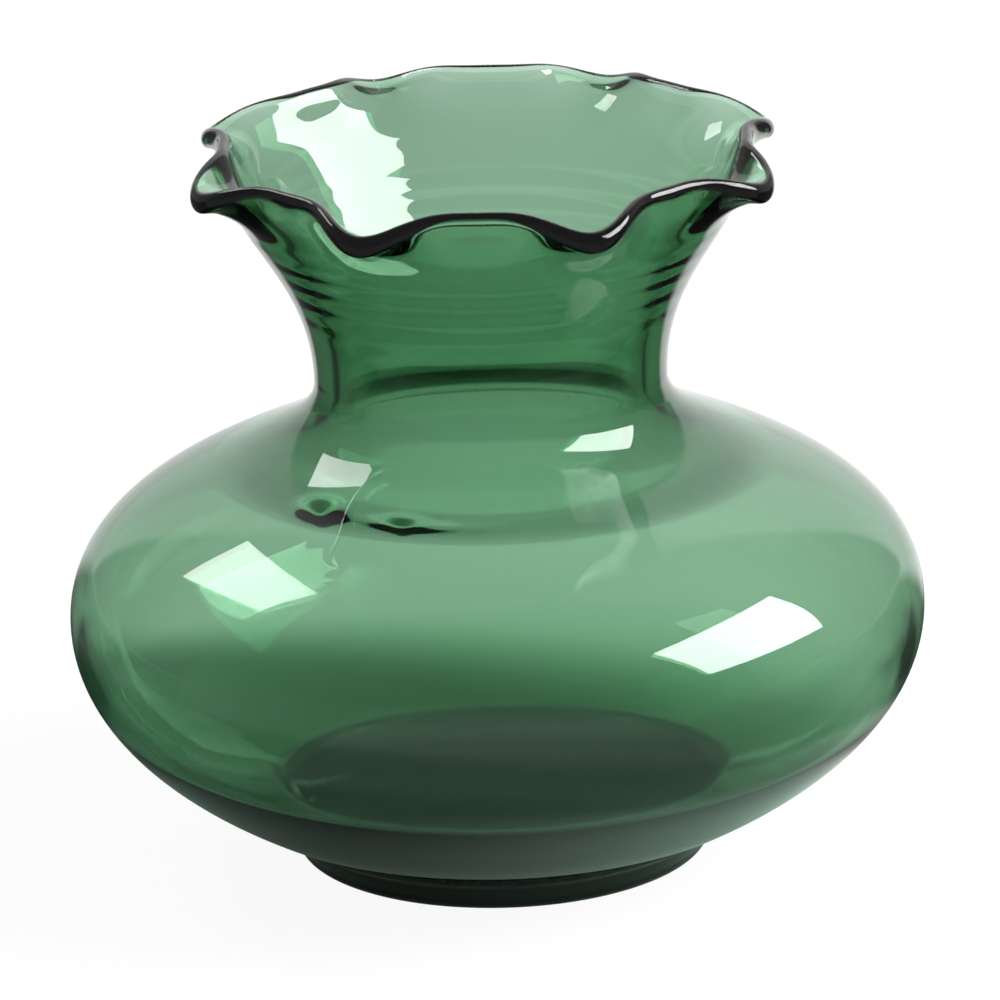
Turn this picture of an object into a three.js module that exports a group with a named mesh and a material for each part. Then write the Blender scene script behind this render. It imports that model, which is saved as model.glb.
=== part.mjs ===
// Crimped bud vase: one piece of blown green glass with a squat belly, a short neck
// and a flared rim that was crimped into eight waves while it was hot.
// Millimetres, +Z up. The origin is the middle of the face that the foot rests on,
// and one crest of the rim points to the front, along -Y.
import * as THREE from "three";

// Outside sizes. A radius is the outside of the glass, and a height is above the resting face.
const vaseHeight = 92.8;
const rimRadius = 34.8;
const neckRadius = 22.1;
const neckHeight = 61.8;
const bellyRadius = 53.8;
const bellyHeight = 31.2;
const footTopRadius = 27.2;
const footHeight = 3.5;
const footRadius = 26.1;
const footEdgeRound = 1.2;

// Underside: a shallow recess leaves a flat ring to stand on.
const restInnerRadius = 21.5;
const recessDepth = 1.6;

// Glass thickness, from the lip down to the middle of the floor. The neck and the shoulder were
// left thick, and about the collar the wall thins to the blown belly.
const lipWall = 2.3;
const neckWall = 3.4;
const shoulderWall = 2.2;
const bellyWall = 1.2;
const heelWall = 2.6;
const floorThickness = 8.2;
const collarRadius = 33;
const collarWidth = 12;

// Crimped rim: beyond the flare, the last of the glass is bent in waves. A lean is the angle
// between the glass and the vertical, outward, at the lip. The dips are narrower than the crests.
const crimpCount = 8;
const crimpReach = 8.6;
const crestLeanDegrees = 29.5;
const dipLeanDegrees = 88;
const dipSharpness = 1.8;

// Directions and fullness of the outside curves. A pull is how far a curve keeps its direction
// at that end, as a share of the height that the curve climbs.
const heelLeanDegrees = 63;
const flareLeanDegrees = 29.5;
const heelPull = 0.32;
const bellyUnderPull = 0.54;
const bellyOverPull = 0.65;
const neckUnderPull = 0.36;
const neckOverPull = 0.47;
const flarePull = 0.28;

// Inside, the floor sweeps up into the wall at this share of the way from the foot to the belly.
const heelShare = 0.3;
const floorPull = 0.65;
const heelSweepPull = 0.2;

// Facets.
const facetsPerCrimp = 10;
const recessSteps = 3;
const edgeSteps = 2;
const heelSteps = 2;
const bellySteps = 6;
const shoulderSteps = 10;
const flareSteps = 6;
const crimpSteps = 4;
const lipSteps = 4;
const floorSteps = 6;

const crestLean = THREE.MathUtils.degToRad(crestLeanDegrees);
const dipLean = THREE.MathUtils.degToRad(dipLeanDegrees);
const heelLean = THREE.MathUtils.degToRad(heelLeanDegrees);
const flareLean = THREE.MathUtils.degToRad(flareLeanDegrees);
const lipRadius = lipWall / 2;

// Profile points are (radius, height). A unit step up the glass at a lean, and the unit step
// across it to the inside.
const upward = (lean) => new THREE.Vector2(Math.sin(lean), Math.cos(lean));
const inward = (lean) => new THREE.Vector2(-Math.cos(lean), Math.sin(lean));

// The crimper bends the glass as an even arc from the flare's lean to the lip's own lean.
// Gives the place, seen from the end of the flare, of the glass that lies this far along
// the outside and this deep below it.
function bentPlace(along, depth, lipLean) {
  const bentLength = Math.min(along, crimpReach);
  const turn = ((lipLean - flareLean) * bentLength) / crimpReach;
  const lean = flareLean + turn;
  const chord = turn === 0 ? bentLength : (bentLength * Math.sin(turn / 2)) / (turn / 2);
  return upward(flareLean + turn / 2)
    .multiplyScalar(chord)
    .addScaledVector(upward(lean), along - bentLength)
    .addScaledVector(inward(lean), depth);
}

// The flare ends where a crest bent from it reaches the full height and the rim's radius.
const crestLip = bentPlace(crimpReach, lipRadius, crestLean);
const flareEnd = new THREE.Vector2(rimRadius - lipRadius, vaseHeight - lipRadius).sub(crestLip);

// A smooth outside curve between two points, each with its lean and its pull.
function glassCurve(start, startLean, startPull, end, endLean, endPull) {
  const climb = end.y - start.y;
  return new THREE.CubicBezierCurve(
    start,
    start.clone().addScaledVector(upward(startLean), climb * startPull),
    end.clone().addScaledVector(upward(endLean), -climb * endPull),
    end,
  );
}

const footTop = new THREE.Vector2(footTopRadius, footHeight);
const belly = new THREE.Vector2(bellyRadius, bellyHeight);
const neck = new THREE.Vector2(neckRadius, neckHeight);
const lowerBelly = glassCurve(footTop, heelLean, heelPull, belly, 0, bellyUnderPull);
const shoulder = glassCurve(belly, 0, bellyOverPull, neck, 0, neckUnderPull);
const flare = glassCurve(neck, 0, neckOverPull, flareEnd, flareLean, flarePull);

// Both faces of a stretch of wall, from share "from" of the curve to its end. The thickness
// at a point follows from its share of the stretch and its radius.
function wall(curve, from, steps, thicknessAt) {
  const outside = [];
  const inside = [];
  for (let step = 0; step <= steps; step++) {
    const share = step / steps;
    const place = from + (1 - from) * share;
    const tangent = curve.getTangent(place);
    const across = new THREE.Vector2(-tangent.y, tangent.x);
    const point = curve.getPoint(place);
    outside.push(point);
    inside.push(point.clone().addScaledVector(across, thicknessAt(share, point.x)));
  }
  return { outside, inside };
}

// A thickness that passes smoothly from one value to another along a stretch of wall.
function between(startWall, endWall) {
  return (share) => THREE.MathUtils.lerp(startWall, endWall, THREE.MathUtils.smoothstep(share, 0, 1));
}

// The wall thickens from the belly's thickness to the shoulder's about the collar, and on to the neck.
function shoulderThickness(share, radius) {
  const collarInside = collarRadius - collarWidth / 2;
  const collarOutside = collarRadius + collarWidth / 2;
  const stepUp = 1 - THREE.MathUtils.smoothstep(radius, collarInside, collarOutside);
  const thickening = 1 - THREE.MathUtils.smoothstep(radius, neckRadius, collarInside);
  return bellyWall + (shoulderWall - bellyWall) * stepUp + (neckWall - shoulderWall) * thickening;
}

// The resting ring, the foot's rounded edge and its wall, and the belly as far as the heel.
function undersideProfile() {
  const middle = new THREE.Vector2(0, recessDepth);
  const dome = new THREE.Vector2(restInnerRadius / 2, recessDepth);
  const restInner = new THREE.Vector2(restInnerRadius, 0);
  const recess = new THREE.QuadraticBezierCurve(middle, dome, restInner).getPoints(recessSteps);
  const edgeMiddle = footRadius - footEdgeRound;
  const edge = new THREE.EllipseCurve(
    edgeMiddle, footEdgeRound, footEdgeRound, footEdgeRound, -Math.PI / 2, 0,
  ).getPoints(edgeSteps);
  const heel = [];
  for (let step = 0; step < heelSteps; step++) {
    heel.push(lowerBelly.getPoint((heelShare * step) / heelSteps));
  }
  return [...recess, ...edge, ...heel];
}

// The rim before it is crimped: the wall goes straight on from the flare to a round lip.
function plainRimProfile() {
  const profile = [];
  for (let step = 1; step < crimpSteps; step++) {
    profile.push(straightPlace((crimpReach * step) / crimpSteps, 0));
  }
  for (let step = 0; step <= lipSteps; step++) {
    const turn = (Math.PI * step) / lipSteps;
    const along = crimpReach + lipRadius * Math.sin(turn);
    profile.push(straightPlace(along, lipRadius * (1 - Math.cos(turn))));
  }
  for (let step = crimpSteps - 1; step > 0; step--) {
    profile.push(straightPlace((crimpReach * step) / crimpSteps, lipWall));
  }
  return profile;
}

function straightPlace(along, depth) {
  return flareEnd
    .clone()
    .addScaledVector(upward(flareLean), along)
    .addScaledVector(inward(flareLean), depth);
}

// The inside floor, from the wall down to the middle. It is nearly flat and thickest there.
function floorProfile(wallStart) {
  const middle = new THREE.Vector2(0, floorThickness);
  const tangent = lowerBelly.getTangent(heelShare);
  const sweep = new THREE.CubicBezierCurve(
    wallStart,
    wallStart.clone().addScaledVector(tangent, -wallStart.x * heelSweepPull),
    new THREE.Vector2(wallStart.x * floorPull, floorThickness),
    middle,
  );
  return sweep.getPoints(floorSteps).slice(1);
}

// One closed outline, from the middle of the underside up the outside, over the lip
// and down the inside to the middle of the floor.
function vaseProfile() {
  const lower = wall(lowerBelly, heelShare, bellySteps, between(heelWall, bellyWall));
  const middle = wall(shoulder, 0, shoulderSteps, shoulderThickness);
  const upper = wall(flare, 0, flareSteps, between(neckWall, lipWall));
  return [
    ...undersideProfile(),
    ...lower.outside,
    ...middle.outside.slice(1),
    ...upper.outside.slice(1),
    ...plainRimProfile(),
    ...upper.inside.toReversed(),
    ...middle.inside.toReversed().slice(1),
    ...lower.inside.toReversed().slice(1),
    ...floorProfile(lower.inside[0]),
  ];
}

// Bends the rim in waves round the vase. The lathe turns about Y, with the front at +Z.
function crimpRim(geometry) {
  const position = geometry.attributes.position;
  for (let index = 0; index < position.count; index++) {
    const x = position.getX(index);
    const z = position.getZ(index);
    const fromFlare = new THREE.Vector2(Math.hypot(x, z), position.getY(index)).sub(flareEnd);
    const along = fromFlare.dot(upward(flareLean));
    if (along > 0) {
      const angle = Math.atan2(x, z);
      const dip = ((1 - Math.cos(crimpCount * angle)) / 2) ** dipSharpness;
      const lipLean = THREE.MathUtils.lerp(crestLean, dipLean, dip);
      const depth = fromFlare.dot(inward(flareLean));
      const bent = bentPlace(along, depth, lipLean).add(flareEnd);
      position.setXYZ(index, bent.x * Math.sin(angle), bent.y, bent.x * Math.cos(angle));
    }
  }
}

function glassVase() {
  const geometry = new THREE.LatheGeometry(vaseProfile(), crimpCount * facetsPerCrimp);
  crimpRim(geometry);
  geometry.rotateX(Math.PI / 2);
  geometry.computeVertexNormals();
  const glass = new THREE.MeshStandardMaterial({
    color: 0x3f8a5e,
    roughness: 0.04,
    metalness: 0,
    transparent: true,
    opacity: 0.6,
  });
  const mesh = new THREE.Mesh(geometry, glass);
  mesh.name = "glass_vase";
  return mesh;
}

const vase = new THREE.Group();
vase.add(glassVase());

export default vase;
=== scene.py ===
# Crimped bud vase in green glass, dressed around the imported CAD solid. Metres, +Z up, front at -Y.
import math

import bpy
import numpy as np
from mathutils import Matrix, Quaternion, Vector

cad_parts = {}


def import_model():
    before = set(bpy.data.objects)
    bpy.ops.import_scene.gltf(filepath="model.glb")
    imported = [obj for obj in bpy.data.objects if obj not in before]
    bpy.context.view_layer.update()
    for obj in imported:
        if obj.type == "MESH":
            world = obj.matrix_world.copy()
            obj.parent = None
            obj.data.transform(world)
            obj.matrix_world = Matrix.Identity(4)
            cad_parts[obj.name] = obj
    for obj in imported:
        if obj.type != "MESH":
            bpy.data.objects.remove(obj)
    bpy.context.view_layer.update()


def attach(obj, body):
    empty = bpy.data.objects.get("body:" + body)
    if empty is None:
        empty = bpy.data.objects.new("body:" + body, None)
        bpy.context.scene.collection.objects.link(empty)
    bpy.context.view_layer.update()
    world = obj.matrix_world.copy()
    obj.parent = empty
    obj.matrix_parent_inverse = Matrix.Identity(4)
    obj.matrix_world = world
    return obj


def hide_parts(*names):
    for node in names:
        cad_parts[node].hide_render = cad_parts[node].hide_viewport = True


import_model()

MM = 0.001
WHITE = (1, 1, 1, 1)

# Outside sizes of the glass. A height is above the resting face. They are the solid's own,
# apart from the rim, which is a little narrower and lower here.
VASE_HEIGHT = 92.74 * MM
RIM_RADIUS = 33.6 * MM
NECK_RADIUS = 22.1 * MM
NECK_HEIGHT = 61.8 * MM
BELLY_RADIUS = 53.8 * MM
BELLY_HEIGHT = 31.2 * MM
FOOT_TOP_RADIUS = 27.2 * MM
FOOT_HEIGHT = 3.5 * MM
FOOT_RADIUS = 26.1 * MM
FOOT_EDGE_ROUND = 1.2 * MM
REST_INNER_RADIUS = 21.5 * MM
RECESS_DEPTH = 1.6 * MM

# Glass thickness from the lip down to the floor. The heel's glass has thinned to the belly's
# at this share of its stretch.
LIP_WALL = 2.3 * MM
FLARE_WALL = 2.7 * MM
NECK_WALL = 3.1 * MM
SHOULDER_WALL = 2.6 * MM
BELLY_WALL = 1.6 * MM
HEEL_WALL = 3.6 * MM
HEEL_THINS = 0.7
FLOOR_THICKNESS = 8.2 * MM
LIP_RADIUS = LIP_WALL / 2

# At the collar, the wall steps from the belly's thickness to the shoulder's.
COLLAR_RADIUS = 31.5 * MM
COLLAR_WIDTH = 8.5 * MM

# The lip is thinner at the crests and fuller at the dips. The glass takes on that thickness
# over the nose, the last stretch before the round of the lip.
CREST_LIP_SHARE = 0.75
DIP_LIP_SHARE = 1.3
NOSE = 1.5 * MM

# Faint rings from the turning, inside the flare. They come and go at these shares of its length.
RING_COUNT = 7
RING_DEPTH = 0.04 * MM
RINGS_COME = (0.2, 0.45)
RINGS_GO = (0.98, 0.7)

# Pips of glass inside the shoulder: bearing from the front in degrees and positive to the right,
# distance from the axis, half width around the vase, half width outward, and height.
PIPS = [
    (-42, 30.2 * MM, 2.4 * MM, 1.4 * MM, 1.6 * MM),
    (-20, 30.2 * MM, 2 * MM, 0.8 * MM, 0.9 * MM),
    (-18, 30.4 * MM, 8 * MM, 0.8 * MM, 0.15 * MM),
]

# Crimped rim. A lean is the angle between the glass and the vertical, outward, at the lip.
CRIMP_COUNT = 8
CRIMP_REACH = 8.6 * MM
CREST_LEAN = math.radians(11)
DIP_LEAN = math.radians(81)
DIP_SHARPNESS = 1.8

# Outside curves: leans from the vertical, and pulls as shares of the height climbed.
HEEL_LEAN = math.radians(63)
FLARE_LEAN = math.radians(29.5)
HEEL_PULL = 0.32
BELLY_UNDER_PULL = 0.54
BELLY_OVER_PULL = 0.65
NECK_UNDER_PULL = 0.36
NECK_OVER_PULL = 0.47
FLARE_PULL = 0.28

# Inside, the floor sweeps up into the wall at this share of the way from the foot to the belly.
HEEL_SHARE = 0.14
FLOOR_PULL = 0.85
HEEL_SWEEP_PULL = 0.08

# Fineness of the visible mesh.
AROUND = 256
RECESS_STEPS = 14
EDGE_STEPS = 8
FOOT_STEPS = 5
HEEL_STEPS = 20
BELLY_STEPS = 40
SHOULDER_STEPS = 90
FLARE_STEPS = 32
CRIMP_STEPS = 20
LIP_STEPS = 16
FLOOR_STEPS = 30

# Green glass. The density is per metre of glass crossed.
GLASS_IOR = 1.5
GLASS_COLOUR = (0.091, 0.493, 0.222, 1)
GLASS_DENSITY = 495

# Camera, from the photograph's own perspective. The lens is in millimetres.
CAMERA_DISTANCE = 1146.3 * MM
CAMERA_HEIGHT = 427.85 * MM
AIM_HEIGHT = 45.2 * MM
AIM_SIDE = 0.71 * MM
CAMERA_TURN = math.radians(2)
CAMERA_ROLL = math.radians(-1.62)
CAMERA_LENS = 346.4

# Brightness of the room, where 1 is white. A pair of brightnesses is for the left and the right.
# The other pairs are edges, where a smooth step starts and ends in the unit direction of a ray:
# along X for TO_RIGHT, along Z for the ceiling, the sky and the flags' top, and in the cosine of
# the bearing from straight behind for the backdrop and FRONT_TO_BACK.
BACKDROP_MIRRORED = (0.8, 1.1)
SIDES_MIRRORED = (0.3, 0.45)
FRONT_MIRRORED = 0.25
CEILING_SHARE = 0.1
FILL_LIGHT = 0.25
ROOM_TO_RIGHT = (-0.2, 0.3)
BACKDROP_EDGE = (0.83, 0.86)
FRONT_TO_BACK = (-0.2, 0.4)
CEILING_EDGE = (0.75, 0.9)
HORIZON_TO_SKY = (0.1, 0.35)
SKY_THROUGH = 0.45

# Every bearing about the vase is in degrees from straight behind, positive to the right, and is
# soft by this many degrees on either side.
BEARING_SOFTNESS = 4

# Dark flags beside the vase, seen through the glass only. On the floor, their start and end are
# distances from the origin.
FLAG_THROUGH = 0.2
ROOM_FLAG_LEFT = (-90, -30)
ROOM_FLAG_RIGHT = (30, 90)
ROOM_FLAG_TOP = (0.5, 0.3)
FLOOR_FLAG_LEFT = (-75, -48)
FLOOR_FLAG_RIGHT = (48, 66)
FLOOR_FLAG_START = (66 * MM, 80 * MM)
FLOOR_FLAG_END = (620 * MM, 500 * MM)

# The floor's plane, its brightness to the camera, and its own pale colour, which takes the shadow.
FLOOR_HALF = 4.0
FLOOR_DROP = 0.05 * MM
FLOOR_GLOW = 0.93
FLOOR_PALE = 0.1

# The vase's shadow on the floor, to the front left, as the glass shows it. Light that has been
# through the vase tints it.
SHADOW_MIDDLE = (-40 * MM, -20 * MM, 0)
SHADOW_RADIUS = 92 * MM
SHADOW_EDGE = 30 * MM
SHADOW_THROUGH = 0.42
SHADOW_TINT = (0.68, 1, 0.8, 1)

# The floor as the glass mirrors it, in rings about the foot, with painted shade and light: painted shade at
# the foot and close about the vase, darkest behind it, darker to its left, and paler to its right, where the
# right softbox lights the floor. Each EDGE is in distance from the origin. TO_RIGHT is along X, and
# BACK_TO_FRONT along Y.
FOOT_SHADE = 0.5
FOOT_SHADE_EDGE = (28 * MM, 44 * MM)
NEAR_MIRRORED = (0.17, 0.8)
NEAR_EDGE = (48 * MM, 56 * MM)
BESIDE_MIRRORED = (0.1, 0.36)
BESIDE_EDGE = (62 * MM, 72 * MM)
MIDDLING_MIRRORED = 0.03
MIDDLING_EDGE = (100 * MM, 140 * MM)
FAR_MIRRORED = (0.85, 1.1)
FAR_SIDES_MIRRORED = 0.12
FAR_BEARINGS = (-32, 38)
FRONT_FLOOR_MIRRORED = 0.32
NEAR_TO_RIGHT = (-30 * MM, 40 * MM)
FAR_TO_RIGHT = (-100 * MM, 100 * MM)
BACK_TO_FRONT = (-20 * MM, -60 * MM)

# The floor as it shows through the glass, with painted light and shade: paler to the right along X, where
# the right softbox lights it, and dimmer in a band behind the vase and in the distance, both along Y. It is
# dimmer, too, beside the belly on the right, and by distance from the origin it has painted shade under the
# heel and a painted contact shadow under the foot.
FLOOR_THROUGH = (1.08, 1.25)
THROUGH_TO_RIGHT = (-60 * MM, 60 * MM)
BAND_SHARE = 0.8
BAND_START = (172 * MM, 195 * MM)
BAND_END = (262 * MM, 240 * MM)
DISTANCE_SHARE = 0.74
DISTANCE_EDGE = (230 * MM, 280 * MM)
BESIDE_SHARE = 0.85
BESIDE_BEARINGS = (42, 80)
BESIDE_START = (42 * MM, 50 * MM)
HEEL_SHADE_SHARE = 0.3
HEEL_SHADE_EDGE = (37 * MM, 33 * MM)
CONTACT_SHADOW_SHARE = 0.1
CONTACT_SHADOW_EDGE = (26.5 * MM, 25 * MM)


def upward(lean):
    """Unit step up the glass, as (radius, height)."""
    return np.array([math.sin(lean), math.cos(lean)])


def inward(lean):
    """Unit step across the glass to the inside, as (radius, height)."""
    return np.array([-math.cos(lean), math.sin(lean)])


def bent_place(along, depth, lip_lean):
    """Place from the flare's end of glass this far along the outside and this deep below it."""
    bent = np.minimum(along, CRIMP_REACH)
    turn = (lip_lean - FLARE_LEAN) * bent / CRIMP_REACH
    lean = FLARE_LEAN + turn
    middle = FLARE_LEAN + turn / 2
    chord = bent * np.sinc(turn / 2 / math.pi)
    straight = along - bent
    radius = np.sin(middle) * chord + np.sin(lean) * straight - np.cos(lean) * depth
    height = np.cos(middle) * chord + np.cos(lean) * straight + np.sin(lean) * depth
    return radius, height


# The flare ends where a crest bent from it reaches the full height and the rim's radius.
CREST_LIP = np.array(bent_place(CRIMP_REACH, LIP_RADIUS, CREST_LEAN))
FLARE_END = np.array([RIM_RADIUS - LIP_RADIUS, VASE_HEIGHT - LIP_RADIUS]) - CREST_LIP


class GlassCurve:
    """A smooth outside curve between two (radius, height) points, each with a lean and a pull."""

    def __init__(self, start, start_lean, start_pull, end, end_lean, end_pull):
        climb = end[1] - start[1]
        self.corners = np.array([
            start,
            start + upward(start_lean) * climb * start_pull,
            end - upward(end_lean) * climb * end_pull,
            end,
        ])

    def points(self, shares):
        t = np.asarray(shares)[:, None]
        a, b, c, d = self.corners
        return (1 - t) ** 3 * a + 3 * (1 - t) ** 2 * t * b + 3 * (1 - t) * t ** 2 * c + t ** 3 * d

    def tangents(self, shares):
        t = np.asarray(shares)[:, None]
        a, b, c, d = self.corners
        way = (1 - t) ** 2 * (b - a) + 2 * (1 - t) * t * (c - b) + t ** 2 * (d - c)
        return way / np.linalg.norm(way, axis=1)[:, None]


FOOT_TOP = np.array([FOOT_TOP_RADIUS, FOOT_HEIGHT])
BELLY = np.array([BELLY_RADIUS, BELLY_HEIGHT])
NECK = np.array([NECK_RADIUS, NECK_HEIGHT])
LOWER_BELLY = GlassCurve(FOOT_TOP, HEEL_LEAN, HEEL_PULL, BELLY, 0, BELLY_UNDER_PULL)
SHOULDER = GlassCurve(BELLY, 0, BELLY_OVER_PULL, NECK, 0, NECK_UNDER_PULL)
FLARE = GlassCurve(NECK, 0, NECK_OVER_PULL, FLARE_END, FLARE_LEAN, FLARE_PULL)


def eased(value, start, end):
    """Rises smoothly from 0 at the start to 1 at the end."""
    share = np.clip((value - start) / (end - start), 0, 1)
    return share ** 2 * (3 - 2 * share)


def wall(curve, start, steps, thickness_at):
    """Outside and inside points of a stretch of wall. Its thickness follows share and radius."""
    share = np.linspace(0, 1, steps + 1)
    place = start + (1 - start) * share
    outside = curve.points(place)
    tangent = curve.tangents(place)
    across = np.stack([-tangent[:, 1], tangent[:, 0]], axis=1)
    return outside, outside + across * thickness_at(share, outside[:, 0])[:, None]


def heel_thickness(share, radius):
    """From the heel up, the wall thins to the belly's thickness."""
    return HEEL_WALL + (BELLY_WALL - HEEL_WALL) * eased(share, 0, HEEL_THINS)


def shoulder_thickness(share, radius):
    """The shoulder steps up from the belly's thickness at the collar, and thickens on to the neck."""
    inside = COLLAR_RADIUS - COLLAR_WIDTH / 2
    outside = COLLAR_RADIUS + COLLAR_WIDTH / 2
    step_up = 1 - eased(radius, inside, outside)
    thickening = 1 - eased(radius, NECK_RADIUS, inside)
    return BELLY_WALL + (SHOULDER_WALL - BELLY_WALL) * step_up + (NECK_WALL - SHOULDER_WALL) * thickening


def flare_thickness(share, radius):
    """The wall thins from the neck to the rim, with the faint rings on its inside."""
    plain = NECK_WALL + (FLARE_WALL - NECK_WALL) * eased(share, 0, 1)
    waves = RING_DEPTH * np.sin(share * RING_COUNT * 2 * math.pi)
    return plain + waves * eased(share, *RINGS_COME) * eased(share, *RINGS_GO)


def underside():
    """The recess, the foot's rounded edge and its wall, and the belly as far as the heel."""
    t = np.linspace(0, 1, RECESS_STEPS + 1)[:, None]
    middle = np.array([0, RECESS_DEPTH])
    dome = np.array([REST_INNER_RADIUS / 2, RECESS_DEPTH])
    rest = np.array([REST_INNER_RADIUS, 0])
    recess = (1 - t) ** 2 * middle + 2 * (1 - t) * t * dome + t ** 2 * rest
    turn = np.linspace(0, math.pi / 2, EDGE_STEPS + 1)
    edge = np.stack([
        FOOT_RADIUS - FOOT_EDGE_ROUND * (1 - np.sin(turn)),
        FOOT_EDGE_ROUND * (1 - np.cos(turn)),
    ], axis=1)
    share = np.linspace(0, 1, FOOT_STEPS + 1)[1:-1, None]
    foot_wall = edge[-1] * (1 - share) + FOOT_TOP * share
    heel = LOWER_BELLY.points(np.linspace(0, HEEL_SHARE, HEEL_STEPS + 1)[:-1])
    return [recess, edge, foot_wall, heel]


def straight_place(along, depth):
    """Places of glass that goes straight on from the flare."""
    return FLARE_END + np.outer(along, upward(FLARE_LEAN)) + np.outer(depth, inward(FLARE_LEAN))


def plain_rim():
    """The rim before it is crimped: the outside, the round lip, and the inside back to the flare."""
    along = np.linspace(0, CRIMP_REACH, CRIMP_STEPS + 1)[1:-1]
    thickness = LIP_WALL + (FLARE_WALL - LIP_WALL) * (1 - eased(along, 0, CRIMP_REACH))
    turn = np.linspace(0, math.pi, LIP_STEPS + 1)
    return [
        straight_place(along, 0 * along),
        straight_place(CRIMP_REACH + LIP_RADIUS * np.sin(turn), LIP_RADIUS * (1 - np.cos(turn))),
        straight_place(along[::-1], thickness[::-1]),
    ]


def inside_floor(start):
    """The inside floor, from the wall down to the middle, nearly flat there."""
    t = np.linspace(0, 1, FLOOR_STEPS + 1)[1:, None]
    tangent = LOWER_BELLY.tangents([HEEL_SHARE])[0]
    b = start - tangent * start[0] * HEEL_SWEEP_PULL
    c = np.array([start[0] * FLOOR_PULL, FLOOR_THICKNESS])
    d = np.array([0, FLOOR_THICKNESS])
    return (1 - t) ** 3 * start + 3 * (1 - t) ** 2 * t * b + 3 * (1 - t) * t ** 2 * c + t ** 3 * d


def vase_profile():
    """One closed outline from the middle of the underside, over the lip, to the middle of the floor."""
    lower_out, lower_in = wall(LOWER_BELLY, HEEL_SHARE, BELLY_STEPS, heel_thickness)
    middle_out, middle_in = wall(SHOULDER, 0, SHOULDER_STEPS, shoulder_thickness)
    upper_out, upper_in = wall(FLARE, 0, FLARE_STEPS, flare_thickness)
    return np.concatenate([
        *underside(),
        lower_out,
        middle_out[1:],
        upper_out[1:],
        *plain_rim(),
        upper_in[::-1],
        middle_in[::-1][1:],
        lower_in[::-1][1:],
        inside_floor(lower_in[0]),
    ])


def dips(angle):
    """0 at each crest of the rim, and 1 at each dip."""
    return ((1 - np.cos(CRIMP_COUNT * angle)) / 2) ** DIP_SHARPNESS


def pip_heights(angle, profile):
    """How far the pips reach down from the inside of the shoulder, at each point."""
    highest = int(np.argmax(profile[:, 1]))
    inside = np.arange(len(profile)) > highest
    under_shoulder = inside & (profile[:, 1] > BELLY_HEIGHT) & (profile[:, 1] < NECK_HEIGHT)
    total = np.zeros((len(angle), len(profile)))
    for bearing, radius, half_around, half_across, height in PIPS:
        turn = (angle - math.radians(bearing) + math.pi) % (2 * math.pi) - math.pi
        around = turn * radius / half_around
        across = (profile[None, :, 0] - radius) / half_across
        total += height * np.exp(-around ** 2 - across ** 2)
    return total * under_shoulder[None, :]


def glass_points():
    """Points (around, along the profile, 3). The front, where a crest is, is -Y."""
    profile = vase_profile()
    angle = np.linspace(0, 2 * math.pi, AROUND, endpoint=False)[:, None]
    offset = profile - FLARE_END
    along = (offset @ upward(FLARE_LEAN))[None, :]
    depth = (offset @ inward(FLARE_LEAN))[None, :]
    dip = dips(angle)
    lip_share = CREST_LIP_SHARE + (DIP_LIP_SHARE - CREST_LIP_SHARE) * dip
    nose = eased(along, CRIMP_REACH - NOSE, CRIMP_REACH + LIP_RADIUS)
    depth = LIP_RADIUS + (depth - LIP_RADIUS) * (1 + (lip_share - 1) * nose)
    lean = CREST_LEAN + (DIP_LEAN - CREST_LEAN) * dip
    radius, height = bent_place(np.maximum(along, 0), depth, lean)
    crimped = along > 0
    radius = np.where(crimped, radius + FLARE_END[0], profile[None, :, 0])
    height = np.where(crimped, height + FLARE_END[1], profile[None, :, 1])
    height = height - pip_heights(angle, profile)
    return np.stack([radius * np.sin(angle), -radius * np.cos(angle), height], axis=2)


def turned_mesh(name, points):
    """Closed mesh from profiles set round the axis, each of which starts and ends on it."""
    around, stations, _ = points.shape
    rings = points[:, 1:-1].reshape(-1, 3)
    width = stations - 2
    first = len(rings)
    last = first + 1
    vertices = np.concatenate([rings, points[:1, 0], points[:1, -1]])
    i = np.arange(around)[:, None]
    j = np.arange(width - 1)[None, :]
    after = (i + 1) % around
    quads = np.stack([i * width + j, after * width + j, after * width + j + 1, i * width + j + 1], axis=2)
    faces = quads.reshape(-1, 4).tolist()
    for k in range(around):
        following = (k + 1) % around
        faces.append([first, following * width, k * width])
        faces.append([last, k * width + width - 1, following * width + width - 1])
    mesh = bpy.data.meshes.new(name)
    mesh.from_pydata(vertices.tolist(), [], faces)
    mesh.shade_smooth()
    piece = bpy.data.objects.new(name, mesh)
    bpy.context.scene.collection.objects.link(piece)
    return piece


def glass_material():
    """Clear, smooth glass that takes its green from the length of glass that the light crosses."""
    material = bpy.data.materials.new("green_glass")
    material.use_nodes = True
    nodes = material.node_tree.nodes
    shader = nodes["Principled BSDF"]
    shader.inputs["Base Color"].default_value = WHITE
    shader.inputs["Roughness"].default_value = 0
    shader.inputs["IOR"].default_value = GLASS_IOR
    shader.inputs["Transmission Weight"].default_value = 1
    volume = nodes.new("ShaderNodeVolumeAbsorption")
    volume.inputs["Color"].default_value = GLASS_COLOUR
    volume.inputs["Density"].default_value = GLASS_DENSITY
    material.node_tree.links.new(volume.outputs[0], nodes["Material Output"].inputs["Volume"])
    return material


def glass_vase():
    """The one piece, in place of the solid."""
    vase = turned_mesh("vase", glass_points())
    vase.data.materials.append(glass_material())
    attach(vase, "root")
    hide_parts("glass_vase")


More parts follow.
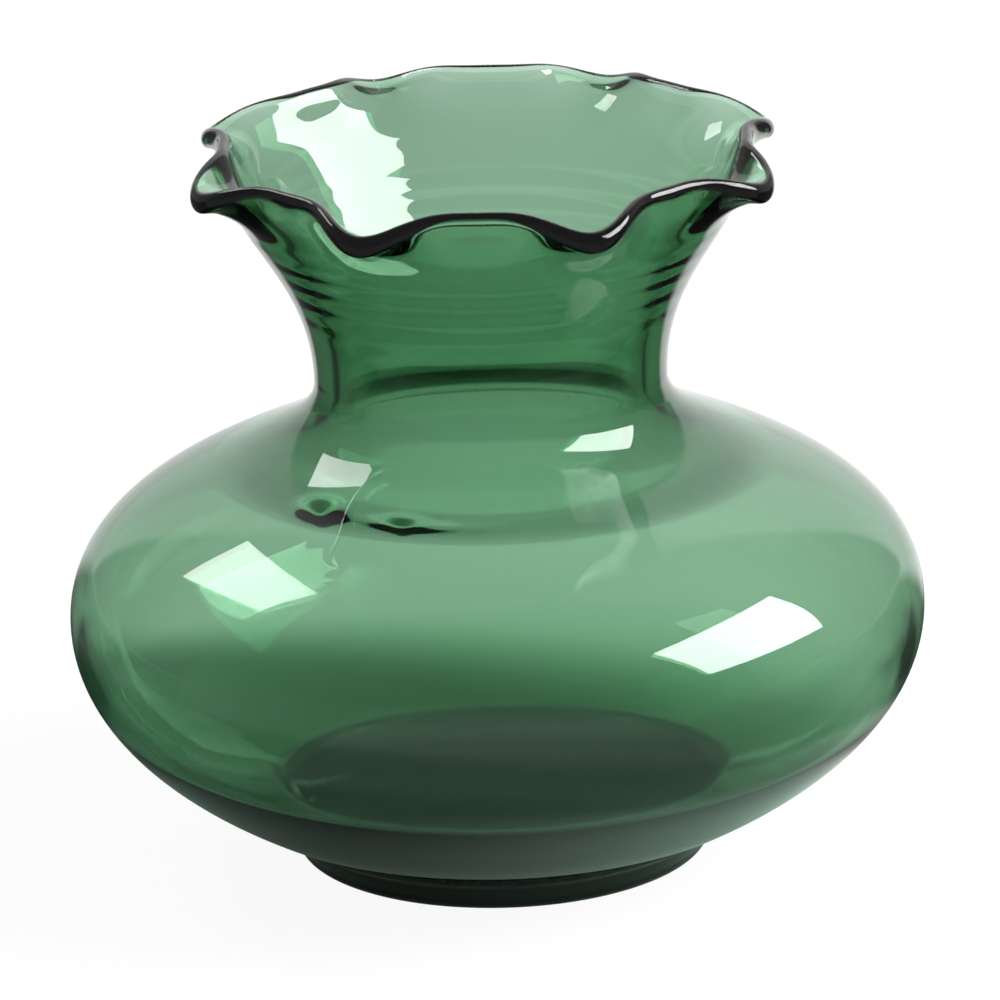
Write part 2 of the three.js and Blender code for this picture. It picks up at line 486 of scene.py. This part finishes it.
def place_camera():
    """The camera looks down on the vase from the front, and from a little to the side."""
    data = bpy.data.cameras.new("camera")
    data.lens = CAMERA_LENS
    camera = bpy.data.objects.new("camera", data)
    bpy.context.scene.collection.objects.link(camera)
    turn = Matrix.Rotation(CAMERA_TURN, 3, "Z")
    place = turn @ Vector((AIM_SIDE, -CAMERA_DISTANCE, CAMERA_HEIGHT))
    aim = turn @ Vector((AIM_SIDE, 0, AIM_HEIGHT))
    camera.location = place
    camera.rotation_mode = "QUATERNION"
    roll = Quaternion((0, 0, 1), CAMERA_ROLL)
    camera.rotation_quaternion = (aim - place).to_track_quat("-Z", "Y") @ roll
    bpy.context.scene.camera = camera


def add(tree, kind, inputs, **settings):
    """Adds a shader node, with its inputs set to values or linked to sockets."""
    made = tree.nodes.new("ShaderNode" + kind)
    for name, value in settings.items():
        setattr(made, name, value)
    for key, value in inputs.items():
        if isinstance(value, bpy.types.NodeSocket):
            tree.links.new(value, made.inputs[key])
        else:
            made.inputs[key].default_value = value
    return made


def smooth_step(tree, value, edges):
    """Rises smoothly from 0 at the first edge to 1 at the second, which may be the lower of the two."""
    start, end = edges
    step = add(tree, "MapRange", {0: value, 1: start, 2: end}, interpolation_type="SMOOTHSTEP")
    return step.outputs[0]


def product(tree, a, b):
    return add(tree, "Math", {0: a, 1: b}, operation="MULTIPLY").outputs[0]


def larger(tree, a, b):
    return add(tree, "Math", {0: a, 1: b}, operation="MAXIMUM").outputs[0]


def lerp(tree, factor, a, b):
    """Passes from a to b as the factor goes from 0 to 1."""
    return add(tree, "Mix", {0: factor, 2: a, 3: b}).outputs[0]


def blend(tree, factor, a, b):
    """The same for colours."""
    return add(tree, "Mix", {0: factor, 6: a, 7: b}, data_type="RGBA").outputs[2]


def dimmed(tree, value, where, share):
    """The value, brought down to a share of itself where the mask is 1."""
    return product(tree, value, lerp(tree, where, 1.0, share))


def wedge(tree, parts, bearings):
    """1 between two bearings from straight behind, in degrees and positive to the right."""
    low, high = bearings
    bearing = add(tree, "Math", {0: parts["X"], 1: parts["Y"]}, operation="ARCTAN2").outputs[0]
    low_edges = (math.radians(low - BEARING_SOFTNESS), math.radians(low + BEARING_SOFTNESS))
    high_edges = (math.radians(high + BEARING_SOFTNESS), math.radians(high - BEARING_SOFTNESS))
    return product(tree, smooth_step(tree, bearing, low_edges), smooth_step(tree, bearing, high_edges))


def split(tree, vector):
    return add(tree, "SeparateXYZ", {0: vector}).outputs


def room_mirrored(tree, way):
    """What the glass mirrors: a bright backdrop behind, duller sides, and a dark front and ceiling."""
    parts = split(tree, way)
    level = add(tree, "VectorMath", {0: way, 1: (1, 1, 0)}, operation="MULTIPLY").outputs["Vector"]
    level = add(tree, "VectorMath", {0: level}, operation="NORMALIZE").outputs["Vector"]
    ahead = split(tree, level)["Y"]
    to_right = smooth_step(tree, parts["X"], ROOM_TO_RIGHT)
    backdrop = lerp(tree, to_right, *BACKDROP_MIRRORED)
    sides = lerp(tree, to_right, *SIDES_MIRRORED)
    around = lerp(tree, smooth_step(tree, ahead, BACKDROP_EDGE), sides, backdrop)
    at_back = smooth_step(tree, ahead, FRONT_TO_BACK)
    lit = dimmed(tree, at_back, smooth_step(tree, parts["Z"], CEILING_EDGE), CEILING_SHARE)
    return lerp(tree, lit, FRONT_MIRRORED, around)


def room_through(tree, way):
    """What shows through the glass: white at the horizon, duller above, with a flag at each side."""
    parts = split(tree, way)
    through = lerp(tree, smooth_step(tree, parts["Z"], HORIZON_TO_SKY), 1.0, SKY_THROUGH)
    left = wedge(tree, parts, ROOM_FLAG_LEFT)
    right = wedge(tree, parts, ROOM_FLAG_RIGHT)
    low = smooth_step(tree, parts["Z"], ROOM_FLAG_TOP)
    flagged = product(tree, larger(tree, left, right), low)
    return lerp(tree, flagged, through, FLAG_THROUGH)


def world():
    """White to the camera. The glass mirrors one room, and shows another through it."""
    scene_world = bpy.data.worlds.new("world")
    bpy.context.scene.world = scene_world
    scene_world.use_nodes = True
    tree = scene_world.node_tree
    way = add(tree, "TexCoord", {}).outputs["Generated"]
    path = add(tree, "LightPath", {}).outputs
    shown = lerp(tree, path["Is Glossy Ray"], FILL_LIGHT, room_mirrored(tree, way))
    shown = lerp(tree, path["Is Transmission Ray"], shown, room_through(tree, way))
    shown = lerp(tree, path["Is Camera Ray"], shown, 1.0)
    background = tree.nodes["Background"]
    tree.links.new(shown, background.inputs["Strength"])
    background.inputs["Color"].default_value = WHITE


def distance_from(tree, place, middle):
    return add(tree, "VectorMath", {0: place, 1: middle}, operation="DISTANCE").outputs["Value"]


def floor_mirrored(tree, place):
    """The floor in the glass's reflections, with painted shade and light: rings from the foot out, brighter
    to the right.
    """
    parts = split(tree, place)
    reach = distance_from(tree, place, (0, 0, 0))
    to_right = smooth_step(tree, parts["X"], NEAR_TO_RIGHT)
    in_front = smooth_step(tree, parts["Y"], BACK_TO_FRONT)
    # Painted shade and light: darker to the left, paler to the right, and painted shade at the foot.
    near = lerp(tree, to_right, *NEAR_MIRRORED)
    near = product(tree, near, lerp(tree, smooth_step(tree, reach, FOOT_SHADE_EDGE), FOOT_SHADE, 1.0))
    beside = lerp(tree, to_right, *BESIDE_MIRRORED)
    middling = lerp(tree, in_front, MIDDLING_MIRRORED, FRONT_FLOOR_MIRRORED)
    behind = lerp(tree, smooth_step(tree, parts["X"], FAR_TO_RIGHT), *FAR_MIRRORED)
    far = lerp(tree, wedge(tree, parts, FAR_BEARINGS), FAR_SIDES_MIRRORED, behind)
    far = lerp(tree, in_front, far, FRONT_FLOOR_MIRRORED)
    mirrored = lerp(tree, smooth_step(tree, reach, NEAR_EDGE), near, beside)
    mirrored = lerp(tree, smooth_step(tree, reach, BESIDE_EDGE), mirrored, middling)
    return lerp(tree, smooth_step(tree, reach, MIDDLING_EDGE), mirrored, far)


def floor_through(tree, place, lit):
    """The floor as it shows through the glass, with painted light and shade. The lit mask is 1 outside the
    painted shadow of the vase.
    """
    parts = split(tree, place)
    reach = distance_from(tree, place, (0, 0, 0))
    # Painted light: paler to the right, where the right softbox lights the floor.
    through = lerp(tree, smooth_step(tree, parts["X"], THROUGH_TO_RIGHT), *FLOOR_THROUGH)
    band_start = smooth_step(tree, parts["Y"], BAND_START)
    band = product(tree, band_start, smooth_step(tree, parts["Y"], BAND_END))
    through = dimmed(tree, through, band, BAND_SHARE)
    through = dimmed(tree, through, smooth_step(tree, parts["Y"], DISTANCE_EDGE), DISTANCE_SHARE)
    through = lerp(tree, lit, SHADOW_THROUGH, through)
    sides = larger(tree, wedge(tree, parts, FLOOR_FLAG_LEFT), wedge(tree, parts, FLOOR_FLAG_RIGHT))
    flag_start = smooth_step(tree, reach, FLOOR_FLAG_START)
    flag_reach = product(tree, flag_start, smooth_step(tree, reach, FLOOR_FLAG_END))
    through = lerp(tree, product(tree, sides, flag_reach), through, FLAG_THROUGH)
    beside_start = smooth_step(tree, reach, BESIDE_START)
    beside = product(tree, wedge(tree, parts, BESIDE_BEARINGS), beside_start)
    through = dimmed(tree, through, beside, BESIDE_SHARE)
    # Painted shade under the heel, and a painted contact shadow under the foot.
    through = dimmed(tree, through, smooth_step(tree, reach, HEEL_SHADE_EDGE), HEEL_SHADE_SHARE)
    return dimmed(tree, through, smooth_step(tree, reach, CONTACT_SHADOW_EDGE), CONTACT_SHADOW_SHARE)


def floor_material():
    """White to the camera but for the real soft shadow. The glass gets the two floors above."""
    material = bpy.data.materials.new("floor")
    material.use_nodes = True
    tree = material.node_tree
    tree.nodes.clear()
    place = add(tree, "NewGeometry", {}).outputs["Position"]
    path = add(tree, "LightPath", {}).outputs
    shadow_edges = (SHADOW_RADIUS - SHADOW_EDGE / 2, SHADOW_RADIUS + SHADOW_EDGE / 2)
    lit = smooth_step(tree, distance_from(tree, place, SHADOW_MIDDLE), shadow_edges)
    glow = lerp(tree, path["Is Camera Ray"], 0.0, FLOOR_GLOW)
    glow = lerp(tree, path["Is Glossy Ray"], glow, floor_mirrored(tree, place))
    glow = lerp(tree, path["Is Transmission Ray"], glow, floor_through(tree, place, lit))
    tint = blend(tree, lit, SHADOW_TINT, WHITE)
    tint = blend(tree, path["Is Camera Ray"], tint, WHITE)
    emission = add(tree, "Emission", {"Color": tint, "Strength": glow})
    plain = add(tree, "BsdfDiffuse", {"Color": (FLOOR_PALE, FLOOR_PALE, FLOOR_PALE, 1)})
    seen = add(tree, "AddShader", {0: emission.outputs[0], 1: plain.outputs[0]})
    by_glass = add(tree, "Math", {0: path["Is Glossy Ray"], 1: path["Is Transmission Ray"]}, operation="ADD")
    shader = add(tree, "MixShader", {0: by_glass.outputs[0], 1: seen.outputs[0], 2: emission.outputs[0]})
    output = add(tree, "OutputMaterial", {})
    tree.links.new(shader.outputs[0], output.inputs["Surface"])
    return material


def floor():
    """A wide plane, a hair below the foot."""
    corners = [(-1, -1), (1, -1), (1, 1), (-1, 1)]
    vertices = [(x * FLOOR_HALF, y * FLOOR_HALF, -FLOOR_DROP) for x, y in corners]
    mesh = bpy.data.meshes.new("floor")
    mesh.from_pydata(vertices, [], [(0, 1, 2, 3)])
    plane = bpy.data.objects.new("floor", mesh)
    bpy.context.scene.collection.objects.link(plane)
    mesh.materials.append(floor_material())


def direction(azimuth, elevation):
    """Unit vector. Azimuth 0 is behind the vase, and 90 is to its right."""
    a = math.radians(azimuth)
    e = math.radians(elevation)
    return Vector((math.sin(a) * math.cos(e), math.cos(a) * math.cos(e), math.sin(e)))


def softbox(name, azimuth, elevation, distance, width, height, turn, radiance):
    """A lamp that faces the origin. Angles are in degrees, and sizes in metres."""
    data = bpy.data.lights.new(name, "AREA")
    data.shape = "RECTANGLE"
    data.size = width
    data.size_y = height
    data.energy = radiance * math.pi * width * height
    lamp = bpy.data.objects.new(name, data)
    bpy.context.scene.collection.objects.link(lamp)
    way = direction(azimuth, elevation)
    lamp.location = way * distance
    lamp.rotation_mode = "QUATERNION"
    lamp.rotation_quaternion = way.to_track_quat("Z", "Y") @ Quaternion((0, 0, 1), math.radians(turn))
    lamp.visible_camera = False


def lamps():
    """A wide softbox to the right, and a small, dimmer one behind to the left."""
    softbox("softbox_right", azimuth=98, elevation=36, distance=1.0,
            width=0.72, height=0.5, turn=-4, radiance=14)
    softbox("softbox_left", azimuth=-53.5, elevation=49, distance=1.2,
            width=0.5, height=0.27, turn=50, radiance=6.5)


bpy.context.scene.view_settings.view_transform = "Standard"
glass_vase()
place_camera()
floor()
world()
lamps()
